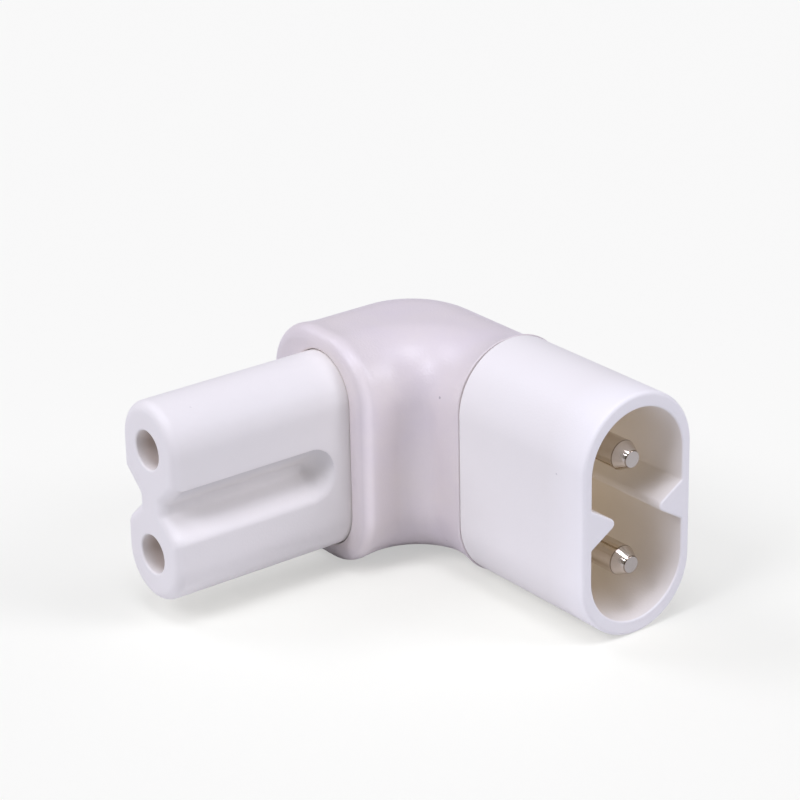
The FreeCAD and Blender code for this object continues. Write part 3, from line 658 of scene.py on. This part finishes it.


# Moulded plastic. The attribute "hollow" is the depth in an opening, where it lays on painted shade or a
# painted glow, and a second attribute lays painted highlights and painted shade along edges.
def mouldedSkin():
    tree, enter, leave = nodeGroup(
        "mouldedSkin",
        [("Base", "Color", (0.8, 0.8, 0.8, 1)), ("Tint", "Color", (0.8, 0.8, 0.8, 1)),
         ("Mottle scale", "Float", 200.0), ("Mottle", "Float", 0.5), ("Grain scale", "Float", 6000.0),
         ("Roughness", "Float", 0.5), ("Roughness spread", "Float", 0.1), ("Specks", "Float", 0.3),
         ("Hollow", "Color", (1, 1, 1, 1)), ("Hollow glow", "Color", (0, 0, 0, 1)),
         ("Edge", "Color", (1, 1, 1, 1)), ("Edge glow", "Color", (0, 0, 0, 1))],
        [("Color", "Color"), ("Roughness", "Float"), ("Height", "Float"), ("Glow", "Color")])
    where = tree.nodes.new("ShaderNodeTexCoord").outputs["Object"]
    cloud = noise(tree, where, enter["Mottle scale"], 4.0)
    grain = noise(tree, where, enter["Grain scale"], 2.0)
    mottle = contrast(tree, cloud, skinMarks["mottleGain"], skinMarks["mottleFrom"])
    skin = mixColour(tree, calc(tree, "MULTIPLY", mottle, enter["Mottle"]), enter["Base"], enter["Tint"])
    cells = tree.nodes.new("ShaderNodeTexVoronoi")
    cells.inputs["Scale"].default_value = skinMarks["speckScale"]
    tree.links.new(where, cells.inputs["Vector"])
    dot = calc(tree, "LESS_THAN", cells.outputs["Distance"], skinMarks["speckSize"])
    groups = noise(tree, where, skinMarks["groupScale"], 1.0)
    chosen = calc(tree, "GREATER_THAN", groups, skinMarks["groupFrom"])
    speck = calc(tree, "MULTIPLY", calc(tree, "MULTIPLY", dot, chosen), enter["Specks"])
    marked = mixColour(tree, speck, skin, skinMarks["speckColour"])
    hollow, edge = field(tree, "hollow"), field(tree, "edge")
    inward = calc(tree, "MINIMUM", calc(tree, "MULTIPLY", hollow, skinMarks["hollowRise"]), 1.0)
    # painted shade or painted light inside openings, then painted highlights and painted shade along edges
    shade = mixColour(tree, inward, (1, 1, 1, 1), enter["Hollow"])
    edged = mixColour(tree, edge, (1, 1, 1, 1), enter["Edge"])
    shaded = mixColour(tree, 1.0, marked, shade, "MULTIPLY")
    tree.links.new(mixColour(tree, 1.0, shaded, edged, "MULTIPLY"), leave["Color"])
    # painted glow inside openings and along lit edges
    inner = mixColour(tree, hollow, (0, 0, 0, 1), enter["Hollow glow"])
    tree.links.new(mixColour(tree, edge, inner, enter["Edge glow"], "ADD"), leave["Glow"])
    uneven = unevenRoughness(tree, cloud, enter["Roughness spread"], enter["Roughness"])
    tree.links.new(uneven, leave["Roughness"])
    relief = calc(tree, "ADD", grain, calc(tree, "MULTIPLY", cloud, skinMarks["cloudHeight"]))
    tree.links.new(relief, leave["Height"])
    return tree


metalMarks = {
    "cloudScale": 900.0, "tarnishGain": 2.0, "tarnishFrom": 0.6, "roughnessSpread": 0.15,
    # turning marks are noise drawn out round X
    "drawOut": (1.0, 0.02, 0.02)}


# Turned metal, with painted shade lines at two places along X and a sawn end past the second
def turnedMetal():
    tree, enter, leave = nodeGroup(
        "turnedMetal",
        [("Base", "Color", (0.8, 0.8, 0.8, 1)), ("Tarnish", "Color", (0.5, 0.4, 0.3, 1)),
         ("Tarnish share", "Float", 0.3), ("Ring scale", "Float", 30000.0), ("Roughness", "Float", 0.25),
         ("Foot at", "Float", 1.0), ("End at", "Float", 1.0), ("Line half", "Float", 0.00005),
         ("Line", "Color", (0.5, 0.45, 0.4, 1)), ("End", "Color", (1, 1, 1, 1))],
        [("Color", "Color"), ("Roughness", "Float"), ("Height", "Float")])
    where = tree.nodes.new("ShaderNodeTexCoord").outputs["Object"]
    cloud = noise(tree, where, metalMarks["cloudScale"], 3.0)
    drawn = tree.nodes.new("ShaderNodeMapping")
    drawn.inputs["Scale"].default_value = metalMarks["drawOut"]
    tree.links.new(where, drawn.inputs["Vector"])
    rings = noise(tree, drawn.outputs[0], enter["Ring scale"], 2.0)
    tarnish = contrast(tree, cloud, metalMarks["tarnishGain"], metalMarks["tarnishFrom"])
    share = calc(tree, "MULTIPLY", tarnish, enter["Tarnish share"])
    turned = mixColour(tree, share, enter["Base"], enter["Tarnish"])
    parts = tree.nodes.new("ShaderNodeSeparateXYZ")
    tree.links.new(where, parts.inputs[0])
    along = parts.outputs["X"]
    lines = []
    for name in ("Foot at", "End at"):
        away = calc(tree, "ABSOLUTE", calc(tree, "SUBTRACT", along, enter[name]))
        lines.append(calc(tree, "LESS_THAN", away, enter["Line half"]))
    lined = mixColour(tree, calc(tree, "MAXIMUM", *lines), turned, enter["Line"], "MULTIPLY")
    sawn = calc(tree, "GREATER_THAN", along, calc(tree, "ADD", enter["End at"], enter["Line half"]))
    tree.links.new(mixColour(tree, sawn, lined, enter["End"], "MULTIPLY"), leave["Color"])
    uneven = unevenRoughness(tree, cloud, metalMarks["roughnessSpread"], enter["Roughness"])
    tree.links.new(uneven, leave["Roughness"])
    tree.links.new(rings, leave["Height"])
    return tree


# The bump is its strength and its height in metres
def dressed(name, group, values, bump, **settings):
    material = bpy.data.materials.new(name)
    material.use_nodes = True
    tree = material.node_tree
    shader = tree.nodes["Principled BSDF"]
    source = tree.nodes.new("ShaderNodeGroup")
    source.node_tree = group
    for key, value in values.items():
        source.inputs[key].default_value = value
    tree.links.new(source.outputs["Color"], shader.inputs["Base Color"])
    tree.links.new(source.outputs["Roughness"], shader.inputs["Roughness"])
    relief = tree.nodes.new("ShaderNodeBump")
    relief.inputs["Strength"].default_value = bump[0]
    relief.inputs["Distance"].default_value = bump[1]
    tree.links.new(source.outputs["Height"], relief.inputs["Height"])
    tree.links.new(relief.outputs[0], shader.inputs["Normal"])
    for key, value in settings.items():
        shader.inputs[key].default_value = value
    # the group's glow is painted light, fed to the emission
    if "Glow" in source.outputs:
        tree.links.new(source.outputs["Glow"], shader.inputs["Emission Color"])
        shader.inputs["Emission Strength"].default_value = 1.0
        material.cycles.emission_sampling = "NONE"
    return material


skinGroup = mouldedSkin()
metalGroup = turnedMetal()
whitePlastic = {
    "Base": (0.935, 0.897, 0.835, 1), "Tint": (0.92, 0.877, 0.812, 1), "Roughness": 0.5, "Specks": 0.25}
# inlet housing: a lighter colour and painted glow deep in the mouth, and painted light with a bluish glow
# near the rim
housingWhite = dressed(
    "housingWhite", skinGroup,
    {**whitePlastic, "Hollow": (0.985, 0.97, 0.94, 1), "Hollow glow": (0.1, 0.08, 0.056, 1),
     "Edge": (1.04, 1.05, 1.06, 1), "Edge glow": (0.03, 0.03, 0.045, 1)},
    bump=(0.5, 0.00002), IOR=1.49)
# socket: painted shade inside the entries and under the groove's upper edge
socketWhite = dressed(
    "socketWhite", skinGroup,
    {**whitePlastic, "Hollow": (0.91, 0.845, 0.8, 1), "Edge": (0.72, 0.725, 0.74, 1)},
    bump=(0.5, 0.00002), IOR=1.49)
# elbow: its edge colour and glow paint a highlight streak on the collar's rounding
elbowPink = dressed(
    "elbowPink", skinGroup,
    {"Base": (0.825, 0.75, 0.7, 1), "Tint": (0.765, 0.69, 0.697, 1), "Mottle scale": 160.0, "Mottle": 0.8,
     "Roughness": 0.36, "Roughness spread": 0.2, "Specks": 0.45,
     "Edge": (1.15, 1.18, 1.2, 1), "Edge glow": (0.08, 0.06, 0.05, 1)},
    bump=(0.55, 0.00004), IOR=1.53)
retainerNatural = dressed(
    "retainerNatural", skinGroup,
    {"Base": (0.7, 0.66, 0.6, 1), "Tint": (0.66, 0.62, 0.55, 1)},
    bump=(0.2, 0.00002))
# pins: painted shade lines at the cone's foot and just behind the tip
pinNickel = dressed(
    "pinNickel", metalGroup,
    {"Base": (0.7, 0.645, 0.57, 1), "Tarnish": (0.52, 0.44, 0.34, 1), "Tarnish share": 0.4, "Roughness": 0.1,
     "Foot at": (pin["coneFoot"] + shift[0]) / 1000,
     "End at": (pin["tip"] + shift[0] - pin["lineBack"]) / 1000, "End": (0.8, 0.8, 0.78, 1)},
    bump=(0.25, 0.00001), Metallic=1.0)
contactBrass = dressed(
    "contactBrass", metalGroup,
    {"Base": (0.72, 0.55, 0.3, 1), "Tarnish": (0.4, 0.27, 0.14, 1)},
    bump=(0.2, 0.00001), Metallic=1.0)
linkTin = dressed(
    "linkTin", metalGroup,
    {"Base": (0.72, 0.68, 0.6, 1), "Tarnish": (0.5, 0.44, 0.36, 1)},
    bump=(0.2, 0.00001), Metallic=1.0)
print("materials made")


def dress(item, material, slotName, *replaced):
    item.data.materials.clear()
    item.data.materials.append(material)
    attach(item, "root")
    if replaced:
        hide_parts(*replaced)


dress(makeElbow(), elbowPink, "overmould", "elbow_overmould")
print("elbow made")
dress(makeInlet(), housingWhite, "housing", "inlet_housing")
print("inlet housing made")
dress(makeSocket(), socketWhite, "housing", "socket_housing")
print("socket made")
dress(makePins(pinNickel), pinNickel, "pin", "inlet_pin_upper", "inlet_pin_lower")
print("pins made")
for name, item in nodes.items():
    if name.startswith("socket_contact"):
        dress(item, contactBrass, "contact")
    elif name.startswith("link_strip"):
        dress(item, linkTin, "link")
    elif name == "contact_retainer":
        dress(item, retainerNatural, "retainer")
print("contacts, links and retainer dressed")

room = {
    "floorHalf": 3.0, "floorRoughness": 0.9,
    # colour that lights the object, colour and added glow that the camera sees, and what only mirrors see
    "floorColour": (0.785, 0.785, 0.785, 1), "floorSeen": (0.474, 0.471, 0.396, 1),
    "floorGlow": (0.489, 0.489, 0.489, 1), "wallColour": (0.25, 0.24, 0.24, 1),
    "lampColour": (0.84, 0.845, 1.0), "spread": 24,
    # azimuth from the front towards +X, elevation, and brightness on a face turned to the lamp
    "softboxes": {
        "frontSoftbox": (5, 45, 0.417), "keySoftbox": (53, 75, 0.347), "leftSoftbox": (-60, 50, 0.225),
        "rightSoftbox": (130, 35, 0.288), "rightHighSoftbox": (130, 62, 0.139),
        "lowSoftbox": (-20, 25, 0.063)}}


def direction(azimuth, elevation):
    azimuth, elevation = math.radians(azimuth), math.radians(elevation)
    level = math.cos(elevation)
    return Vector((math.sin(azimuth) * level, -math.cos(azimuth) * level, math.sin(elevation)))


def makeFloor():
    half = room["floorHalf"]
    mesh = bpy.data.meshes.new("floor")
    mesh.from_pydata([(-half, -half, 0), (half, -half, 0), (half, half, 0), (-half, half, 0)], [], [range(4)])
    floor = bpy.data.objects.new("floor", mesh)
    bpy.context.scene.collection.objects.link(floor)
    paint = bpy.data.materials.new("floorPale")
    paint.use_nodes = True
    tree = paint.node_tree
    shader = tree.nodes["Principled BSDF"]
    shader.inputs["Roughness"].default_value = room["floorRoughness"]
    shader.inputs["Emission Color"].default_value = room["floorGlow"]
    seen = tree.nodes.new("ShaderNodeLightPath").outputs["Is Camera Ray"]
    tree.links.new(seen, shader.inputs["Emission Strength"])
    tree.links.new(mixColour(tree, seen, room["floorColour"], room["floorSeen"]), shader.inputs["Base Color"])
    paint.cycles.emission_sampling = "NONE"
    mesh.materials.append(paint)


def makeLight():
    world = bpy.data.worlds.new("studio")
    world.use_nodes = True
    wall = world.node_tree.nodes["Background"]
    wall.inputs["Color"].default_value = room["wallColour"]
    mirrored = world.node_tree.nodes.new("ShaderNodeLightPath").outputs["Is Glossy Ray"]
    world.node_tree.links.new(mirrored, wall.inputs["Strength"])
    bpy.context.scene.world = world
    for name, (azimuth, elevation, strength) in room["softboxes"].items():
        sun = bpy.data.lights.new(name, "SUN")
        sun.energy = strength * math.pi
        sun.color = room["lampColour"]
        sun.angle = math.radians(room["spread"])
        lamp = bpy.data.objects.new(name, sun)
        lamp.rotation_euler = (-direction(azimuth, elevation)).to_track_quat("-Z", "Y").to_euler()
        bpy.context.scene.collection.objects.link(lamp)


# The photograph's camera: focal length in pixels of a square picture, angles in degrees, the rest in mm
view = {
    "focal": 2917.248, "picture": 800, "sensor": 36.0, "clip": (0.01, 20),
    "azimuth": 53.050, "elevation": 22.904, "roll": -1.176, "distance": 233.826, "slide": (-2.365, 1.054)}


def makeCamera():
    azimuth, roll = math.radians(view["azimuth"]), math.radians(view["roll"])
    back = direction(view["azimuth"], view["elevation"])
    level = Vector((math.cos(azimuth), math.sin(azimuth), 0))
    upright = back.cross(level)
    right = level * math.cos(roll) + upright * math.sin(roll)
    up = upright * math.cos(roll) - level * math.sin(roll)
    data = bpy.data.cameras.new("camera")
    data.sensor_width = view["sensor"]
    data.lens = view["focal"] / view["picture"] * view["sensor"]
    data.clip_start, data.clip_end = view["clip"]
    camera = bpy.data.objects.new("camera", data)
    place = back * view["distance"] + right * view["slide"][0] + up * view["slide"][1] + Vector(shift)
    turn = Matrix((right, up, back)).transposed().to_4x4()
    camera.matrix_world = Matrix.Translation(place / 1000) @ turn
    bpy.context.scene.collection.objects.link(camera)
    bpy.context.scene.camera = camera


makeFloor()
makeLight()
makeCamera()
bpy.context.scene.view_settings.view_transform = "Standard"
print("room and camera made")
